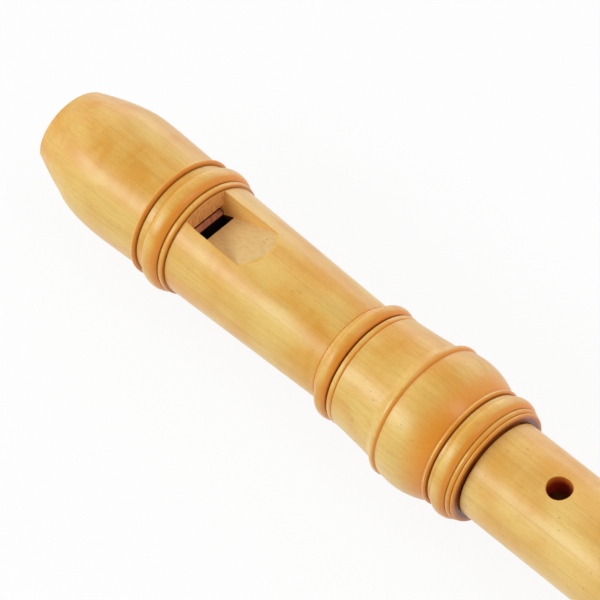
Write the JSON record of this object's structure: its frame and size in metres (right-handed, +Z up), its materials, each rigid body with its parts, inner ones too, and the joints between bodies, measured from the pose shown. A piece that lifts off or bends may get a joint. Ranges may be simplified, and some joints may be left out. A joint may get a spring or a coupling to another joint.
{
  "type": "sopranino recorder",
  "caption": "Small end-blown wooden recorder with a beaked, ring-turned head, a thin lipped window, cork-lapped tenons, finger holes and a flared foot; its joints turn and pull apart.",
  "frame": {"origin": "on the surface the recorder lies on, under the middle of its length", "axes": "+X along the recorder from the beak to the foot, +Z up, out of the window and the finger holes, +Y across it"},
  "size_m": [0.2464, 0.0258, 0.0257],
  "materials": {
    "maple": "oiled and polished maple, satin",
    "cedar": "bare reddish cedar, matte",
    "cork": "greased sheet cork, matte"
  },
  "bodies": {
    "middle": {"middle_joint": "maple"},
    "upper_cork": {"upper_tenon_cork": "cork"},
    "head": {"head_joint": "maple"},
    "fipple_block": {"block": "cedar"},
    "lower_cork": {"lower_tenon_cork": "cork"},
    "foot": {"foot_joint": "maple"}
  },
  "joints": [
    {"name": "head_turn", "type": "hinge", "parent": "middle", "child": "upper_cork", "pos_m": [-0.01872, 0, 0.01287], "axis": [1, 0, 0], "continuous": true},
    {"name": "head_pull", "type": "slide", "parent": "upper_cork", "child": "head", "axis": [-1, 0, 0], "range_m": [0, 0.024]},
    {"name": "block_out", "type": "slide", "parent": "head", "child": "fipple_block", "axis": [-1, 0, 0], "range_m": [0, 0.04]},
    {"name": "foot_turn", "type": "hinge", "parent": "middle", "child": "lower_cork", "pos_m": [0.08007, 0, 0.01287], "axis": [1, 0, 0], "continuous": true},
    {"name": "foot_pull", "type": "slide", "parent": "lower_cork", "child": "foot", "axis": [1, 0, 0], "range_m": [0, 0.017]}
  ]
}
